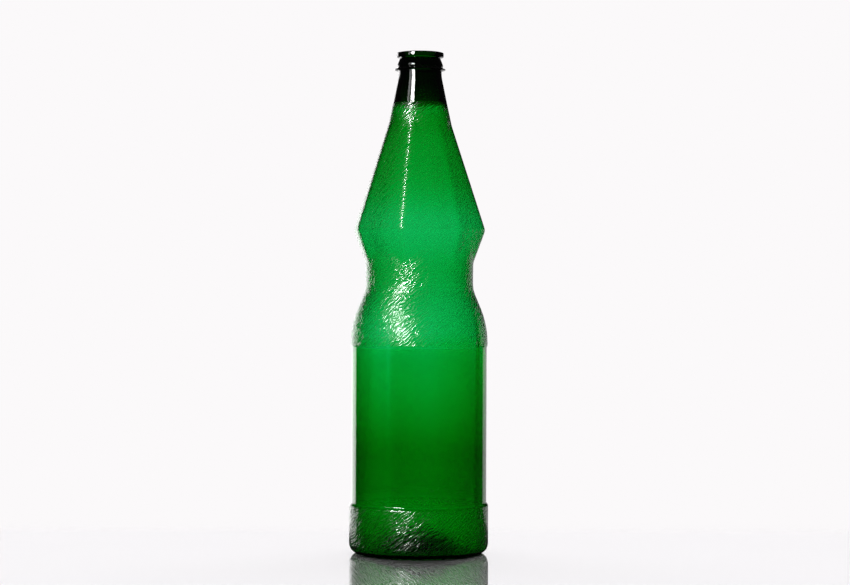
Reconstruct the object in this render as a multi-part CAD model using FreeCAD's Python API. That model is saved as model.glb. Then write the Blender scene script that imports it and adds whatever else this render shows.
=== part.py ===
import FreeCAD, Part
import math
import os

# Empty syrup bottle, blow-moulded in one piece from clear green PET, about one litre, without its cap.
# It is turned about +Z, with the origin in the middle of the ring that it stands on.
# Between neck and waist the wall is faceted: a double pyramid of six wide and two narrow facets,
# with the narrow ones on the mould's parting plane, at +X and -X. Lengths are in millimetres.

# --- Overall -----------------------------------------------------------------------------------
height = 302.2
body_radius = 42.1         # over the base band, the widest part

# --- Base --------------------------------------------------------------------------------------
stand_inset = 8.6          # from the outside to the inner edge of the flat ring that the bottle stands on
push_up_height = 11.8
push_up_crown_share = 0.405  # of that ring's inner radius
push_up_foot_share = 0.79
push_up_foot_z = 1.1
push_up_foot_reach = 2.8
heel_reach = 6.6

# --- Base band and label panel -----------------------------------------------------------------
band_height = 29.0
band_step = 1.2            # how far the label panel lies inside the base band
band_step_height = 1.6
shoulder_step = 0.5        # how far the label panel lies inside the shoulder
shoulder_step_height = 1.0

# --- Shoulder and waist, measured down from the lip --------------------------------------------
shoulder_depth = 178.1     # top of the label panel
shoulder_height = 13.4     # to where the upright and the sloping line of the shoulder would meet
shoulder_bend_reach = 10.5
waist_depth = 143.1        # where the shoulder's slope and the waist would meet
waist_radius = 32.5
waist_bend_reach = 3.0
waist_core_depth = 115.5   # hidden behind the facets: here the round waist begins to narrow

# --- Facets, measured down from the lip --------------------------------------------------------
wide_facet_angle = 51.4    # each of the six wide facets, seen from the axis; two narrow ones fill the rest
ridge_depth = 107.4
ridge_land = 1.0           # height of the upright land along the ridge
ridge_radius = 40.1        # to the facets' sharp corners
facets_top_depth = 40.9    # where the corners meet the round throat
facets_bottom_depth = 128.0  # and the round waist
facet_corner_reach = 1.6

# --- Throat and neck, measured down from the lip -----------------------------------------------
throat_depth = 41.6
throat_height = 10.0       # straight part below, mostly hidden behind the facets
throat_radius = 18.6
neck_depth = 14.2
neck_radius = 13.0
neck_bend_reach = 2.0

# --- Neck finish, measured down from the lip ---------------------------------------------------
ring_depth = 10.8          # underside of the support ring
ring_thickness = 1.3
ring_radius = 15.4
bead_depth = 7.8
bead_radius = 13.95
bead_foot_radius = 13.6
groove_depth = 3.4
groove_radius = 11.9
lip_thickness = 2.6
lip_radius = 14.2

# --- Wall --------------------------------------------------------------------------------------
bore_radius = 10.2
bore_depth = 15.7          # the bore is straight above here
throat_top_depth = 31.5    # the preform's unstretched wall ends here
throat_top_wall = 1.0
throat_wall = 0.75
upper_facets_wall = 0.55
thin_wall = 0.40           # shoulder, waist and lower facets, where the plastic stretches most
band_wall = 0.85
heel_wall = 1.2
base_wall = 2.6

# --- Small bends -------------------------------------------------------------------------------
step_reach = 0.5
edge_reach = 0.4

MOUTH_OVERRUN = 2.0        # how far the cavity's tool runs out through the mouth


def from_lip(depth):
    return height - depth


def level_point(radius, z):
    return FreeCAD.Vector(radius, 0, z)


def on_circle(radius, angle, z):
    return FreeCAD.Vector(radius * math.cos(math.radians(angle)), radius * math.sin(math.radians(angle)), z)


def bend(before, corner, after, reach):
    """Start, middle and end of the arc that rounds a corner, touching each side at this reach."""
    to_before = (before - corner).normalize()
    to_after = (after - corner).normalize()
    half = to_before.getAngle(to_after) / 2
    inward = (to_before + to_after).normalize()
    depth = reach / math.cos(half) - reach * math.tan(half)
    return corner + to_before * reach, corner + inward * depth, corner + to_after * reach


def straight(start, end):
    return Part.LineSegment(start, end).toShape()


def turned(corners):
    """Solid of revolution about Z through (radius, z, bend reach) corners, from the axis to the axis."""
    points = [level_point(radius, z) for radius, z, _ in corners]
    edges = []
    start = points[0]
    for i in range(1, len(points) - 1):
        reach = corners[i][2]
        if reach > 0:
            first, middle, last = bend(points[i - 1], points[i], points[i + 1], reach)
            edges.append(straight(start, first))
            edges.append(Part.Arc(first, middle, last).toShape())
            start = last
        else:
            edges.append(straight(start, points[i]))
            start = points[i]
    edges.append(straight(start, points[-1]))
    edges.append(straight(points[-1], points[0]))
    face = Part.Face(Part.Wire(edges))
    return face.revolve(FreeCAD.Vector(0, 0, 0), FreeCAD.Vector(0, 0, 1), 360)


def facet_wire(radius, z):
    """Level outline of the facets: eight straight sides with rounded corners."""
    narrow_half = (180 - 3 * wide_facet_angle) / 2
    half_turn = [narrow_half + wide_facet_angle * i for i in range(4)]
    angles = half_turn + [angle + 180 for angle in half_turn]
    corners = [on_circle(radius, angle, z) for angle in angles]
    arcs = [bend(corners[i - 1], corners[i], corners[(i + 1) % 8], facet_corner_reach) for i in range(8)]
    edges = []
    for i, (first, middle, last) in enumerate(arcs):
        edges.append(Part.Arc(first, middle, last).toShape())
        edges.append(straight(last, arcs[(i + 1) % 8][0]))
    return Part.Wire(edges)


def facet_slopes():
    """How far the facets' corners come in for each millimetre below the ridge and above it."""
    fall = facets_bottom_depth - ridge_depth - ridge_land / 2
    rise = ridge_depth - ridge_land / 2 - facets_top_depth
    return (ridge_radius - waist_radius) / fall, (ridge_radius - throat_radius) / rise


def facets(lower_inset, upper_inset):
    """Double pyramid of facets; both its ends run on until they lie inside the round waist and throat."""
    lower_slope, upper_slope = facet_slopes()
    sink = facet_corner_reach
    ridge_z = from_lip(ridge_depth)
    levels = [
        facet_wire(waist_radius - sink * lower_slope - lower_inset, from_lip(facets_bottom_depth) - sink),
        facet_wire(ridge_radius - lower_inset, ridge_z - ridge_land / 2),
        facet_wire(ridge_radius - upper_inset, ridge_z + ridge_land / 2),
        facet_wire(throat_radius - sink * upper_slope - upper_inset, from_lip(facets_top_depth) + sink),
    ]
    return Part.makeLoft(levels, True, True)


def facet_inset(wall, slope):
    """How far the facets' corners move in to leave this wall behind the wide facets."""
    return wall * math.hypot(1, slope) / math.cos(math.radians(wide_facet_angle / 2))


def push_up(wall, foot_wall):
    """Corners of the dome in the base, from the axis out to its foot."""
    stand_inner_radius = body_radius - stand_inset
    crown_radius = push_up_crown_share * stand_inner_radius
    return [
        (0, push_up_height + wall, 0),
        (crown_radius, push_up_height + wall, crown_radius - edge_reach),
        (push_up_foot_share * stand_inner_radius + foot_wall, push_up_foot_z + foot_wall, push_up_foot_reach),
    ]


def outer_round():
    panel_radius = body_radius - band_step
    shoulder_radius = panel_radius + shoulder_step
    shoulder_z = from_lip(shoulder_depth)
    throat_z = from_lip(throat_depth)
    ring_z = from_lip(ring_depth)
    lip_z = height - lip_thickness
    return turned([
        *push_up(0, 0),
        (body_radius - stand_inset, 0, edge_reach),
        (body_radius, 0, heel_reach),
        (body_radius, band_height, step_reach),
        (panel_radius, band_height + band_step_height, step_reach),
        (panel_radius, shoulder_z, edge_reach),
        (shoulder_radius, shoulder_z + shoulder_step_height, edge_reach),
        (shoulder_radius, shoulder_z + shoulder_height, shoulder_bend_reach),
        (waist_radius, from_lip(waist_depth), waist_bend_reach),
        (waist_radius, from_lip(waist_core_depth), 0),
        (throat_radius, throat_z - throat_height, 0),
        (throat_radius, throat_z, 0),
        (neck_radius, from_lip(neck_depth), neck_bend_reach),
        (neck_radius, ring_z, edge_reach),
        (ring_radius, ring_z + edge_reach, edge_reach),
        (ring_radius, ring_z + ring_thickness - edge_reach, edge_reach / 2),
        (bead_foot_radius, ring_z + ring_thickness, edge_reach),
        (bead_radius, from_lip(bead_depth), edge_reach),
        (groove_radius + edge_reach, from_lip(groove_depth), edge_reach / 2),
        (groove_radius, lip_z - edge_reach, 0),
        (lip_radius, lip_z, edge_reach),
        (lip_radius, height, edge_reach),
        (0, height, 0),
    ])


def inner_round():
    panel_radius = body_radius - band_step
    shoulder_radius = panel_radius + shoulder_step - thin_wall
    shoulder_z = from_lip(shoulder_depth)
    throat_z = from_lip(throat_depth)
    throat_taper = (throat_radius - neck_radius) / (throat_depth - neck_depth)
    throat_top_radius = throat_radius - throat_taper * (throat_depth - throat_top_depth)
    return turned([
        *push_up(base_wall, heel_wall),
        (body_radius - stand_inset + heel_wall / 2, heel_wall, edge_reach),
        (body_radius - band_wall, heel_wall, heel_reach - heel_wall),
        (body_radius - band_wall, band_height, step_reach),
        (panel_radius - band_wall, band_height + band_step_height, step_reach),
        (panel_radius - thin_wall, shoulder_z, edge_reach),
        (shoulder_radius, shoulder_z + shoulder_step_height, edge_reach),
        (shoulder_radius, shoulder_z + shoulder_height, shoulder_bend_reach),
        (waist_radius - thin_wall, from_lip(waist_depth), waist_bend_reach),
        (waist_radius - thin_wall, from_lip(waist_core_depth), 0),
        (throat_radius - throat_wall, throat_z - throat_height, 0),
        (throat_radius - throat_wall, throat_z, 0),
        (throat_top_radius - throat_top_wall, from_lip(throat_top_depth), step_reach),
        (bore_radius, from_lip(bore_depth), neck_bend_reach),
        (bore_radius, height - edge_reach, 0),
        (bore_radius + edge_reach, height, 0),
        (bore_radius + edge_reach, height + MOUTH_OVERRUN, 0),
        (0, height + MOUTH_OVERRUN, 0),
    ])


def bottle():
    outside = outer_round().fuse(facets(0, 0))
    lower_slope, upper_slope = facet_slopes()
    lower_inset = facet_inset(thin_wall, lower_slope)
    upper_inset = facet_inset(upper_facets_wall, upper_slope)
    inside = inner_round().fuse(facets(lower_inset, upper_inset))
    return outside.cut(inside)


def main():
    os.makedirs("parts", exist_ok=True)
    shape = bottle()
    if len(shape.Solids) != 1 or not shape.isValid():
        raise ValueError(f"the bottle came out as {len(shape.Solids)} solids, valid: {shape.isValid()}")
    solid = shape.Solids[0]
    solid.exportStep("parts/bottle.step")
    print(f"bottle: {solid.Volume / 1000:.1f} cm3 of plastic, {len(solid.Faces)} faces")


main()
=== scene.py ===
import bpy
import math
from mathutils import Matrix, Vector


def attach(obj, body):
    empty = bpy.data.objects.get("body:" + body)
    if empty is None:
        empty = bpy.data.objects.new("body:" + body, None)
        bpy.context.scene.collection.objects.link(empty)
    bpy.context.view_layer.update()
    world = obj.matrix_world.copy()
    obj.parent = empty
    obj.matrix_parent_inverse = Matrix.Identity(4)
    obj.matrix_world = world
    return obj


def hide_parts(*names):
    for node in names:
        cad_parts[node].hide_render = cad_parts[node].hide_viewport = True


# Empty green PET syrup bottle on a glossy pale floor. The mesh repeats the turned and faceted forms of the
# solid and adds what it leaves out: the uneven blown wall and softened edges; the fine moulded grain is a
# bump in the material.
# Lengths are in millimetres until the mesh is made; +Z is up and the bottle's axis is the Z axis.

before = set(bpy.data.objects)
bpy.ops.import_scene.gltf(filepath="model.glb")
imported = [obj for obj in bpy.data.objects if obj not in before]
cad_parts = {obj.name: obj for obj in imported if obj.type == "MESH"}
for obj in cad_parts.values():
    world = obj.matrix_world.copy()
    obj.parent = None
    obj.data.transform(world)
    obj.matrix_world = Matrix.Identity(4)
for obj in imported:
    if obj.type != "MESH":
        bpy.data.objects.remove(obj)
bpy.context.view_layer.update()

MM = 0.001

# --- Form --------------------------------------------------------------------------------------
height = 302.2
body_radius = 42.1
stand_inset = 8.6           # from the outside to the inner edge of the ring that the bottle stands on
push_up_height = 11.8
push_up_foot_z = 1.1
push_up_foot_reach = 2.8
heel_reach = 6.6
band_height = 29.0
band_step_height = 1.6
panel_radius = 40.9
shoulder_radius = 41.4
shoulder_z = 124.1          # top of the label panel
shoulder_step_height = 1.0
shoulder_height = 13.4
shoulder_bend_reach = 10.5
waist_radius = 32.5
waist_z = 159.1
throat_radius = 18.6
throat_z = 260.6
neck_radius = 13.0
neck_z = 288.0
throat_flare = 0.204        # how much the throat widens for each millimetre below the neck
ring_z = 291.4
ring_radius = 15.4
ring_thickness = 1.3
bead_z = 294.4
bead_radius = 13.95
bead_foot_radius = 13.6
groove_z = 298.8
groove_radius = 11.9
lip_z = 299.6
lip_radius = 14.2
bore_radius = 10.2
bore_z = 286.5              # the bore is straight above here
edge = 0.4

rows_low_z = 170            # the rows over the facets begin and end here
rows_high_z = 285
facets_end_z = 270          # above here the throat is round
wide_facet_angle = 51.4
ridge_low_z = 194.3
ridge_high_z = 195.3
ridge_radius = 40.3
lower_slope = 0.378
upper_slope = 0.326
ridge_softness = 0.9
corner_sharpness = 1.0      # per millimetre: the larger it is, the tighter the facets' upright edges
blend_width = 0.5           # where facets run into the round waist and throat

# Height and thickness of the wall, thickest where the plastic stretched least.
wall_at = [
    (0, 0.85), (12, 0.80), (28, 0.72), (33, 0.88), (60, 0.88), (79, 0.65), (97, 0.52), (115, 0.44),
    (124, 0.38), (132, 0.28), (146, 0.32), (155, 0.36), (172, 0.37), (194, 0.31), (203, 0.31), (213, 0.39),
    (225, 0.48), (250, 0.55), (262, 0.62), (268, 0.50), (270, 0.52), (271.5, 0.85), (272.5, 1.5),
    (274, 1.95), (276, 2.25), (280, 2.45), (286.5, 3.15),
]

# Lengthwise streaks of thinner or thicker wall: direction, half width, and how much is added to the wall.
streaks = [(226, 11, -0.12), (233.5, 1.8, -0.12), (284, 12, 0.10), (303, 12, 0.14), (320, 3.5, 0.3)]

base_wall = 2.6
heel_wall = 1.2

columns = 240
grain_period = 1.6          # from one ripple to the next
camera_turn = 10.0          # the camera stands this many degrees to the left of the -Y facet


def rounded_line(corners, spacing):
    """Points through (radius, z, reach) corners; each corner turns into an arc that begins at its reach."""
    line = []

    def run_to(end):
        start = line[-1]
        steps = max(1, math.ceil((end - start).length / spacing))
        for i in range(1, steps + 1):
            line.append(start.lerp(end, i / steps))

    points = [Vector((radius, z)) for radius, z, _ in corners]
    line.append(points[0])
    for i in range(1, len(points) - 1):
        reach = corners[i][2]
        here = points[i]
        if reach == 0:
            run_to(here)
            continue
        first = here + (points[i - 1] - here).normalized() * reach
        last = here + (points[i + 1] - here).normalized() * reach
        run_to(first)
        turn = (here - first).angle(last - here)
        steps = max(2, math.ceil(turn / math.radians(14)), math.ceil(turn * reach / 0.9))
        for j in range(1, steps + 1):
            t = j / steps
            line.append(first.lerp(here, t).lerp(here.lerp(last, t), t))
    run_to(points[-1])
    return [(p.x, p.y) for p in line]


def ramp(x, softness):
    """0 below zero and x above it, with a soft corner."""
    return (x + math.hypot(x, softness)) / 2


def between(table, z):
    """Value at z on the line through the table's points."""
    if z <= table[0][0]:
        return table[0][1]
    for (z0, a), (z1, b) in zip(table, table[1:]):
        if z <= z1:
            return a + (b - a) * (z - z0) / (z1 - z0)
    return table[-1][1]


def facet_circumradius(z):
    fall = lower_slope * ramp(ridge_low_z - z, ridge_softness)
    rise = upper_slope * ramp(z - ridge_high_z, ridge_softness)
    return ridge_radius - fall - rise


narrow_facet_angle = 180 - 3 * wide_facet_angle
facet_normals = [(0, narrow_facet_angle)]
for side in (0, 180):
    for i in range(3):
        middle = side + narrow_facet_angle / 2 + wide_facet_angle * (i + 0.5)
        facet_normals.append((middle, wide_facet_angle))
facet_normals.append((180, narrow_facet_angle))


def facet_radius(angle, z):
    """Distance from the axis to the facets, with their upright edges rounded."""
    circumradius = facet_circumradius(z)
    terms = []
    for normal, span in facet_normals:
        terms.append(math.cos(math.radians(angle - normal)) / math.cos(math.radians(span / 2)))
    peak = max(terms)
    sharpness = corner_sharpness * circumradius
    soft = peak + math.log(sum(math.exp(sharpness * (term - peak)) for term in terms)) / sharpness
    return circumradius / soft


def soft_max(a, b):
    """The larger of two radii, blended where they meet."""
    return (a + b + math.hypot(a - b, blend_width)) / 2


def wall_thickness(angle, z):
    """Thickness from the table, with the panel's lengthwise streaks and a slow unevenness."""
    fade = min(1, max(0, (z - 6) / 25)) * min(1, max(0, (262 - z) / 60))
    panel_fade = min(1, max(0, (z - 20) / 12)) * min(1, max(0, (150 - z) / 25))
    streak = 0
    for middle, half_width, added in streaks:
        away = (angle - middle + 180) % 360 - 180
        streak += added * math.exp(-(away / half_width) ** 2)
    uneven = 0.03 * math.sin(math.radians(3 * angle + z * 1.1))
    uneven += 0.02 * math.sin(math.radians(5 * angle - z * 0.7))
    return between(wall_at, z) * (1 + uneven * fade) / 0.97 + streak * panel_fade


# --- Rows of the mesh, from under the base, up the outside, over the lip and down the inside ----
stand_inner = body_radius - stand_inset
crown_radius = 0.405 * stand_inner
push_up_foot_radius = 0.79 * stand_inner


def outside_below():
    """Turned outline from the middle of the push-up to where the rows over the facets begin."""
    return rounded_line([
        (0.0, push_up_height, 0),
        (crown_radius, push_up_height, crown_radius - edge),
        (push_up_foot_radius, push_up_foot_z, push_up_foot_reach),
        (stand_inner, 0, edge),
        (body_radius, 0, heel_reach),
        (body_radius, band_height, 0.5),
        (panel_radius, band_height + band_step_height, 0.5),
        (panel_radius, shoulder_z, edge),
        (shoulder_radius, shoulder_z + shoulder_step_height, edge),
        (shoulder_radius, shoulder_z + shoulder_height, shoulder_bend_reach),
        (waist_radius, waist_z, 3.0),
        (waist_radius, rows_low_z, 0),
    ], 2.6)


def core_radius(z):
    """Round form behind the facets, from the waist up into the throat."""
    line = [
        (rows_low_z, waist_radius), (186.7, waist_radius), (250.6, throat_radius), (throat_z, throat_radius),
        (neck_z, neck_radius),
    ]
    return between(line, z)


def outer_radius(angle, z):
    core = core_radius(z)
    if z < facets_end_z:
        return soft_max(core, facet_radius(angle, z))
    return core


def facet_levels():
    """Heights of the rows over the facets, closest where the form turns."""
    stretches = [
        (rows_low_z, 187, 1.0), (187, 192.6, 2.8), (192.6, 197, 0.44), (197, 251, 4.5), (251, 263, 0.9),
        (263, 268, 2.5), (268, rows_high_z, 2.0),
    ]
    levels = []
    for low, high, step in stretches:
        count = round((high - low) / step)
        levels += [low + (high - low) * i / count for i in range(count)]
    return levels + [rows_high_z]


def outside_above():
    """Turned outline from the top of the throat over the lip and down to the end of the bore."""
    return rounded_line([
        (neck_radius + throat_flare * 3, neck_z - 3, 0),
        (neck_radius, neck_z, 2.0),
        (neck_radius, ring_z, edge),
        (ring_radius, ring_z + edge, edge),
        (ring_radius, ring_z + ring_thickness - edge, edge / 2),
        (bead_foot_radius, ring_z + ring_thickness, edge),
        (bead_radius, bead_z, edge),
        (groove_radius + edge, groove_z, edge / 2),
        (groove_radius, lip_z - edge, 0),
        (lip_radius, lip_z, edge),
        (lip_radius, height, edge),
        (bore_radius, height, edge),
        (bore_radius, bore_z, 2.0),
        (bore_radius + 0.4, bore_z - 1.3, 0),
    ], 1.5)


def inside_base():
    """Turned outline of the cavity from the base band's foot to the middle of the push-up."""
    crown_z = push_up_height + base_wall
    return rounded_line([
        (body_radius - 0.88, 13, 0),
        (body_radius - 0.95, heel_wall, heel_reach - heel_wall),
        (stand_inner + heel_wall / 2, heel_wall, edge),
        (push_up_foot_radius + heel_wall, push_up_foot_z + heel_wall, push_up_foot_reach),
        (crown_radius, crown_z, crown_radius - edge),
        (0.0, crown_z, 0),
    ], 2.6)


def column_angles():
    """Even columns, drawn closer together around the facets' upright edges."""
    pull = 0.45
    reach = 4.5
    corners = [normal + span / 2 for normal, span in facet_normals]
    angles = []
    for i in range(columns):
        angle = 360 * (i + 0.5) / columns
        for corner in corners:
            away = (angle - corner + 180) % 360 - 180
            angle -= pull * away * math.exp(-(away / reach) ** 2)
        angles.append(angle)
    return angles


def inside_levels(levels):
    """Heights of the rows inside, from the bore down to the heel, closest at the steps and the shoulder."""
    shoulder = [166.5, 164] + [162.5 - 1.5 * i for i in range(24)]
    panel_top = [126.5, 125.5, 124.6, 123.8, 120]
    panel = [115 - 5 * i for i in range(17)]
    band = [32, 30.7, 29.8, 28.6, 26, 22, 17]
    return levels[-2::-1] + shoulder + panel_top + panel + band


def bottle_rows(angles):
    """Each row is a list of (radius, z), one for each column, and whether it is on the outside."""
    rows = []
    below = outside_below()
    levels = facet_levels()
    above = outside_above()
    for radius, z in below[1:-1]:
        rows.append(([(radius, z)] * len(angles), 1))
    for z in levels:
        rows.append(([(outer_radius(angle, z), z) for angle in angles], 1))
    top = max(i for i, (radius, z) in enumerate(above) if abs(z - height) < 0.01)
    for i, (radius, z) in enumerate(above[1:-1]):
        rows.append(([(radius, z)] * len(angles), 1 if i < top else 0))
    upright = [(z, radius) for radius, z in below if z > 9 and radius > 30]
    for z in inside_levels(levels):
        row = []
        for angle in angles:
            outer = outer_radius(angle, z) if z > rows_low_z else between(upright, z)
            row.append((outer - wall_thickness(angle, z), z))
        rows.append((row, 0))
    for radius, z in inside_base()[:-1]:
        rows.append(([(radius, z)] * len(angles), 0))
    return rows


def bottle_mesh():
    """One closed skin through all the rows, with a point attribute that is 1 on the outside."""
    angles = column_angles()
    rows = bottle_rows(angles)
    turns = [(math.cos(math.radians(a)), math.sin(math.radians(a))) for a in angles]
    vertices = [(0, 0, push_up_height * MM)]
    outside = [1.0]
    for row, on_outside in rows:
        for (radius, z), (x, y) in zip(row, turns):
            vertices.append((radius * x * MM, radius * y * MM, z * MM))
            outside.append(float(on_outside))
    vertices.append((0, 0, (push_up_height + base_wall) * MM))
    outside.append(0.0)
    faces = []
    n = len(angles)
    for j in range(n):
        faces.append((0, 1 + (j + 1) % n, 1 + j))
    for i in range(len(rows) - 1):
        for j in range(n):
            a = 1 + i * n + j
            b = 1 + i * n + (j + 1) % n
            faces.append((a, b, b + n, a + n))
    last = 1 + (len(rows) - 1) * n
    for j in range(n):
        faces.append((last + j, last + (j + 1) % n, len(vertices) - 1))
    mesh = bpy.data.meshes.new("bottle_wall")
    mesh.from_pydata(vertices, [], faces)
    mesh.polygons.foreach_set("use_smooth", [True] * len(faces))
    mask = mesh.attributes.new("outside", "FLOAT", "POINT")
    mask.data.foreach_set("value", outside)
    mesh.validate()
    mesh.update()
    return mesh


# --- Materials ---------------------------------------------------------------------------------
class Nodes:
    """Small helper that adds and links the nodes of one tree."""

    def __init__(self, tree):
        self.tree = tree
        tree.nodes.clear()

    def add(self, kind, **settings):
        node = self.tree.nodes.new(kind)
        for name, value in settings.items():
            setattr(node, name, value)
        return node

    def link(self, source, target):
        self.tree.links.new(source, target)

    def put(self, socket, value):
        if isinstance(value, bpy.types.NodeSocket):
            self.link(value, socket)
        else:
            socket.default_value = value

    def math(self, operation, a, b=0.0, c=0.0):
        node = self.add("ShaderNodeMath", operation=operation)
        for socket, value in zip(node.inputs, (a, b, c)):
            self.put(socket, value)
        return node.outputs[0]

    def mix(self, share, first, second):
        node = self.add("ShaderNodeMixShader")
        self.put(node.inputs[0], share)
        self.link(first, node.inputs[1])
        self.link(second, node.inputs[2])
        return node.outputs[0]

    def background(self, colour, strength):
        node = self.add("ShaderNodeBackground")
        node.inputs["Color"].default_value = colour
        self.put(node.inputs["Strength"], strength)
        return node.outputs[0]

    def ramp_up(self, value, low, high):
        node = self.add("ShaderNodeMapRange", interpolation_type="SMOOTHSTEP")
        self.put(node.inputs["Value"], value)
        node.inputs["From Min"].default_value = low
        node.inputs["From Max"].default_value = high
        return node.outputs["Result"]

    def window(self, value, low, high, soft):
        """1 between low and high, 0 outside, with a soft border."""
        rise = self.ramp_up(value, low - soft, low + soft)
        fall = self.ramp_up(value, high + soft, high - soft)
        return self.math("MULTIPLY", rise, fall)


def grain(nodes):
    """Wavy moulded grain, and where it is: the outside of throat, facets, waist, shoulder and base band."""
    place = nodes.add("ShaderNodeTexCoord").outputs["Object"]
    split = nodes.add("ShaderNodeSeparateXYZ")
    nodes.link(place, split.inputs[0])
    x, y, z = split.outputs
    angle = nodes.math("ARCTAN2", x, nodes.math("MULTIPLY", y, -1.0))
    radius = nodes.math("SQRT", nodes.math("ADD", nodes.math("MULTIPLY", x, x), nodes.math("MULTIPLY", y, y)))
    along = nodes.math("MULTIPLY", angle, nodes.math("MULTIPLY", radius, 1000.0))
    up = nodes.math("MULTIPLY", z, 1000.0)
    rise = math.radians(36)      # the ripples climb to the right at this angle
    across = nodes.math("SUBTRACT", nodes.math("MULTIPLY", up, math.cos(rise)),
                        nodes.math("MULTIPLY", along, math.sin(rise)))
    length = nodes.math("ADD", nodes.math("MULTIPLY", along, math.cos(rise)),
                        nodes.math("MULTIPLY", up, math.sin(rise)))
    joined = nodes.add("ShaderNodeCombineXYZ")
    nodes.link(nodes.math("MULTIPLY", length, 0.55), joined.inputs[0])
    nodes.link(across, joined.inputs[1])

    def noise(scale, detail):
        texture = nodes.add("ShaderNodeTexNoise", noise_dimensions="2D")
        nodes.link(joined.outputs[0], texture.inputs["Vector"])
        texture.inputs["Scale"].default_value = scale
        texture.inputs["Detail"].default_value = detail
        return texture.outputs[0]

    sway = nodes.math("MULTIPLY", nodes.math("SUBTRACT", noise(0.33, 1.0), 0.5), 13.0)
    phase = nodes.math("ADD", nodes.math("MULTIPLY", across, 2 * math.pi / grain_period), sway)
    ripple = nodes.math("MULTIPLY", nodes.math("SINE", phase), 0.3)
    speckle = nodes.math("MULTIPLY", noise(0.95, 0.0), 0.48)
    height = nodes.math("ADD", nodes.math("ADD", ripple, 0.26), speckle)
    low_band = nodes.window(up, 3.0, band_height - 0.2, 0.6)
    grain_top = 271.5
    upper = nodes.window(up, shoulder_z + 1.2, grain_top, 0.5)
    zone = nodes.math("ADD", low_band, upper)
    mask = nodes.add("ShaderNodeAttribute", attribute_name="outside").outputs["Fac"]
    on_facets = nodes.window(up, 174, 258, 7)
    fainter = nodes.math("SUBTRACT", 1.0, nodes.math("MULTIPLY", on_facets, 0.45))
    return nodes.math("MULTIPLY", height, fainter), height, nodes.math("MULTIPLY", zone, mask)


def green_plastic():
    """Clear plastic, greener where it is thicker; the grain's valleys are satin and its ridges smooth."""
    material = bpy.data.materials.new("green_plastic")
    material.use_nodes = True
    nodes = Nodes(material.node_tree)
    output = nodes.add("ShaderNodeOutputMaterial")
    shader = nodes.add("ShaderNodeBsdfPrincipled")
    height, depth, zone = grain(nodes)
    tint = nodes.add("ShaderNodeMix", data_type="RGBA")
    valley = nodes.math("MULTIPLY", nodes.ramp_up(depth, 0.46, 0.38), zone)
    nodes.link(valley, tint.inputs["Factor"])
    tint.inputs["A"].default_value = (1.0, 1.0, 1.0, 1)
    tint.inputs["B"].default_value = (0.94, 0.965, 0.94, 1)
    nodes.link(tint.outputs["Result"], shader.inputs["Base Color"])
    satin = nodes.math("ADD", nodes.math("MULTIPLY", zone, 0.01), nodes.math("MULTIPLY", valley, 0.26))
    nodes.link(nodes.math("ADD", 0.02, satin), shader.inputs["Roughness"])
    shader.inputs["IOR"].default_value = 1.575
    shader.inputs["Transmission Weight"].default_value = 1.0
    bump = nodes.add("ShaderNodeBump")
    bump.inputs["Strength"].default_value = 1.0
    bump.inputs["Distance"].default_value = 0.0002
    nodes.link(nodes.math("MULTIPLY", height, zone), bump.inputs["Height"])
    nodes.link(bump.outputs[0], shader.inputs["Normal"])
    nodes.link(shader.outputs[0], output.inputs["Surface"])
    volume = nodes.add("ShaderNodeVolumeAbsorption")
    volume.inputs["Color"].default_value = (0.0, 0.883, 0.585, 1)
    volume.inputs["Density"].default_value = 8900.0
    nodes.link(volume.outputs[0], output.inputs["Volume"])
    return material


def floor_material():
    """Glossy grey-white sheet that fades into the backdrop behind the bottle; painted shade makes it near
    black in the bottle's reflections.
    """
    material = bpy.data.materials.new("pale_floor")
    material.use_nodes = True
    nodes = Nodes(material.node_tree)
    output = nodes.add("ShaderNodeOutputMaterial")
    path = nodes.add("ShaderNodeLightPath")
    matte = nodes.add("ShaderNodeBsdfDiffuse")
    matte.inputs["Color"].default_value = (0.90, 0.90, 0.91, 1)
    mirror = nodes.add("ShaderNodeBsdfGlossy")
    mirror.inputs["Color"].default_value = (0.97, 0.97, 0.98, 1)
    mirror.inputs["Roughness"].default_value = 0.0
    sheet = nodes.mix(0.83, matte.outputs[0], mirror.outputs[0])
    # Painted shade: for reflection rays the sheet is swapped for a near-black diffuse, so the floor shows
    # dark in the bottle's reflections
    reflection_shade = nodes.add("ShaderNodeBsdfDiffuse")
    reflection_shade.inputs["Color"].default_value = (0.015, 0.015, 0.015, 1)
    sheet = nodes.mix(path.outputs["Is Reflection Ray"], sheet, reflection_shade.outputs[0])
    gone = nodes.add("ShaderNodeBsdfTransparent")
    split = nodes.add("ShaderNodeSeparateXYZ")
    nodes.link(nodes.add("ShaderNodeTexCoord").outputs["Object"], split.inputs[0])
    far = nodes.ramp_up(split.outputs[1], 0.095, 0.150)
    nodes.link(nodes.mix(far, sheet, gone.outputs[0]), output.inputs["Surface"])
    return material


# --- Stage -------------------------------------------------------------------------------------
def seen_from_camera(azimuth, elevation, distance):
    """Point at a direction counted from the camera's side: azimuth to its right, elevation up."""
    turn = math.radians(azimuth - camera_turn)
    lift = math.radians(elevation)
    flat = distance * math.cos(lift)
    return Vector((flat * math.sin(turn), -flat * math.cos(turn), distance * math.sin(lift)))


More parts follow.
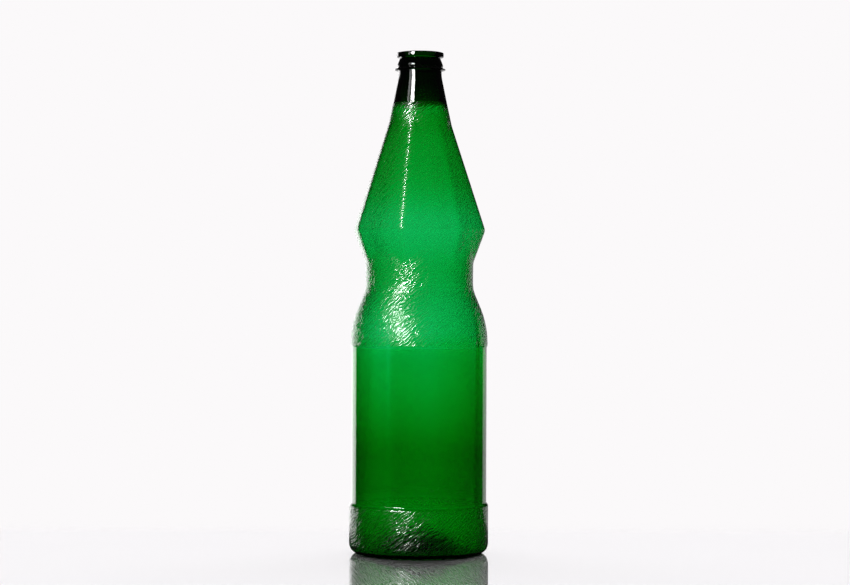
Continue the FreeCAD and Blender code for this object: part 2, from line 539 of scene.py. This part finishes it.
def make_world():
    """White for the camera, also through the bottle and in the floor; else a dim room with two windows.

    Light that the floor has scattered comes from a wide, bright stretch of sky behind the bottle.
    """
    world = bpy.data.worlds.new("studio")
    bpy.context.scene.world = world
    world.use_nodes = True
    nodes = Nodes(world.node_tree)
    output = nodes.add("ShaderNodeOutputWorld")
    path = nodes.add("ShaderNodeLightPath")
    direction = nodes.add("ShaderNodeTexCoord").outputs["Generated"]
    split = nodes.add("ShaderNodeSeparateXYZ")
    nodes.link(direction, split.inputs[0])
    x, y, z = split.outputs
    turn = math.radians(camera_turn)
    x_part = nodes.math("MULTIPLY", x, math.sin(turn))
    y_part = nodes.math("MULTIPLY", y, math.cos(turn))
    back = nodes.math("ADD", x_part, y_part)
    x_part = nodes.math("MULTIPLY", x, math.cos(turn))
    y_part = nodes.math("MULTIPLY", y, math.sin(turn))
    aside = nodes.math("SUBTRACT", x_part, y_part)
    azimuth = nodes.math("ARCTAN2", aside, back)
    left = nodes.window(azimuth, math.radians(-44), math.radians(-6), math.radians(3))
    left = nodes.math("MULTIPLY", left, nodes.window(z, -0.22, 0.17, 0.05))
    right = nodes.window(azimuth, math.radians(-6), math.radians(40), math.radians(3))
    right = nodes.math("MULTIPLY", right, nodes.window(z, -0.22, 0.05, 0.04))
    glow = nodes.math("ADD", nodes.math("MULTIPLY", right, 0.6), nodes.math("MULTIPLY", left, 2.2))
    glow = nodes.math("ADD", glow, 0.012)
    behind = nodes.window(azimuth, math.radians(-60), math.radians(60), math.radians(12))
    behind = nodes.math("MULTIPLY", behind, nodes.window(z, -0.2, 0.8, 0.1))
    colour = (0.965, 0.947, 0.956, 1)
    daylight = nodes.background(colour, nodes.math("ADD", nodes.math("MULTIPLY", behind, 4.0), 0.3))
    bounced = nodes.window(path.outputs["Glossy Depth"], 0.5, 1.5, 0.1)
    crossed = nodes.window(path.outputs["Transmission Depth"], 3.5, 4.5, 0.1)
    upward = nodes.math("MULTIPLY", nodes.ramp_up(z, 0.03, 0.07), nodes.math("GREATER_THAN", back, 0.3))
    off_floor = nodes.math("MULTIPLY", nodes.math("MULTIPLY", bounced, crossed), upward)
    off_floor = nodes.math("MULTIPLY", off_floor, path.outputs["Is Transmission Ray"])
    white = nodes.background(colour, 1.0)
    room = nodes.background(colour, glow)
    first_mirror = nodes.math("MULTIPLY", path.outputs["Is Reflection Ray"], path.outputs["Is Singular Ray"])
    direct = nodes.math("LESS_THAN", path.outputs["Glossy Depth"], 0.5)
    through = nodes.math("MULTIPLY", path.outputs["Is Transmission Ray"], direct)
    straight_on = nodes.math("MAXIMUM", path.outputs["Is Camera Ray"], through)
    straight_on = nodes.math("MAXIMUM", straight_on, first_mirror)
    straight_on = nodes.math("MAXIMUM", straight_on, off_floor)
    scattered = nodes.math("GREATER_THAN", path.outputs["Diffuse Depth"], 0.5)
    seen = nodes.mix(straight_on, room, white)
    nodes.link(nodes.mix(scattered, seen, daylight), output.inputs["Surface"])


def add_softbox(name, azimuth, elevation, distance, width, tall, radiance):
    """Area lamp aimed at the bottle's middle, much dimmer for light that is already inside the plastic."""
    light = bpy.data.lights.new(name, "AREA")
    light.shape = "RECTANGLE"
    light.size = width
    light.size_y = tall
    light.energy = radiance * width * tall * math.pi
    lamp = bpy.data.objects.new(name, light)
    middle = Vector((0, 0, 0.16))
    lamp.location = middle + seen_from_camera(azimuth, elevation, distance)
    lamp.rotation_euler = (middle - lamp.location).to_track_quat("-Z", "Y").to_euler()
    lamp.visible_diffuse = False
    light.use_nodes = True
    nodes = Nodes(light.node_tree)
    emission = nodes.add("ShaderNodeEmission")
    inside = nodes.math("GREATER_THAN", nodes.add("ShaderNodeLightPath").outputs["Transmission Depth"], 0.5)
    nodes.link(nodes.math("SUBTRACT", 1.0, nodes.math("MULTIPLY", inside, 0.94)), emission.inputs["Strength"])
    nodes.link(emission.outputs[0], nodes.add("ShaderNodeOutputLight").inputs["Surface"])
    bpy.context.collection.objects.link(lamp)
    return lamp


def add_camera():
    data = bpy.data.cameras.new("camera")
    data.sensor_width = 36
    data.lens = 87.67
    data.clip_start = 0.01
    camera = bpy.data.objects.new("camera", data)
    eye = seen_from_camera(0, 0, 1.254) + Vector((0, 0, 0.1539))
    turn = math.radians(camera_turn)
    aim = Vector((math.cos(turn), -math.sin(turn), 0)) * 0.0034 + Vector((0, 0, 0.1572))
    look = (aim - eye).to_track_quat("-Z", "Y").to_matrix().to_4x4()
    camera.matrix_world = look
    camera.location = eye
    camera.rotation_euler.rotate_axis("Z", math.radians(0.2))
    bpy.context.collection.objects.link(camera)
    bpy.context.scene.camera = camera


def add_floor():
    mesh = bpy.data.meshes.new("floor")
    half = 3.0
    corners = [(-half, -half, 0), (half, -half, 0), (half, half, 0), (-half, half, 0)]
    mesh.from_pydata(corners, [], [(0, 1, 2, 3)])
    floor = bpy.data.objects.new("floor", mesh)
    floor.location = (0, 0, -0.0003)
    floor.rotation_euler = (0, 0, math.radians(-camera_turn))
    mesh.materials.append(floor_material())
    bpy.context.collection.objects.link(floor)


piece = bpy.data.objects.new("bottle_wall", bottle_mesh())
bpy.context.collection.objects.link(piece)
piece.data.materials.append(green_plastic())
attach(piece, "root")
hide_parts("bottle")

add_floor()
make_world()
add_softbox("softbox", -36, 22, 1.0, 0.26, 0.62, 26.0)
add_softbox("side_strip", -55, 22, 1.0, 0.18, 0.62, 2.6)
add_camera()
bpy.context.scene.view_settings.view_transform = "Standard"

bpy.context.view_layer.update()
